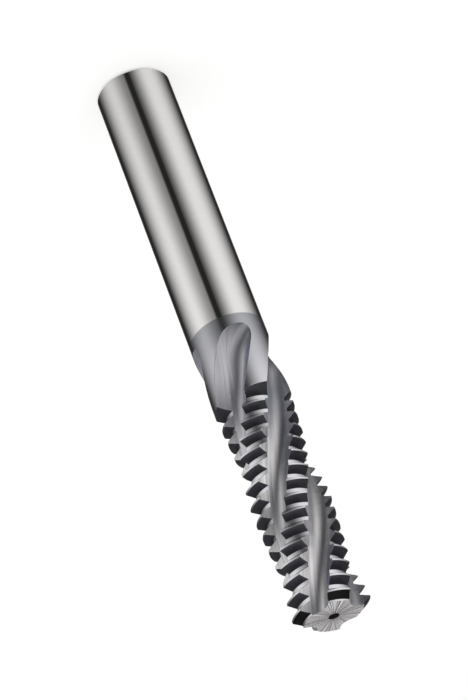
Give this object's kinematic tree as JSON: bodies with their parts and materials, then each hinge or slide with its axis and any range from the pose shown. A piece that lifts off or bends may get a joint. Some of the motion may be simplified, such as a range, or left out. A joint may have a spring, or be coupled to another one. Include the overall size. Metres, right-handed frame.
{
  "type": "thread mill",
  "caption": "Solid carbide thread milling cutter: plain round shank, helical flutes and rows of ring-shaped thread teeth, with a coolant bore along the axis.",
  "frame": {"origin": "centre of the flat end of the shank, on which the tool stands", "axes": "+Z along the tool's axis towards the cutting end; +X through one cutting edge at the end face"},
  "size_m": [0.01, 0.01, 0.0824],
  "materials": {
    "carbide": "ground and polished cemented carbide, bare on the shank and with a dark grey nitride coating on the cutting half"
  },
  "bodies": {
    "root": {"thread_mill": "carbide"}
  },
  "joints": []
}
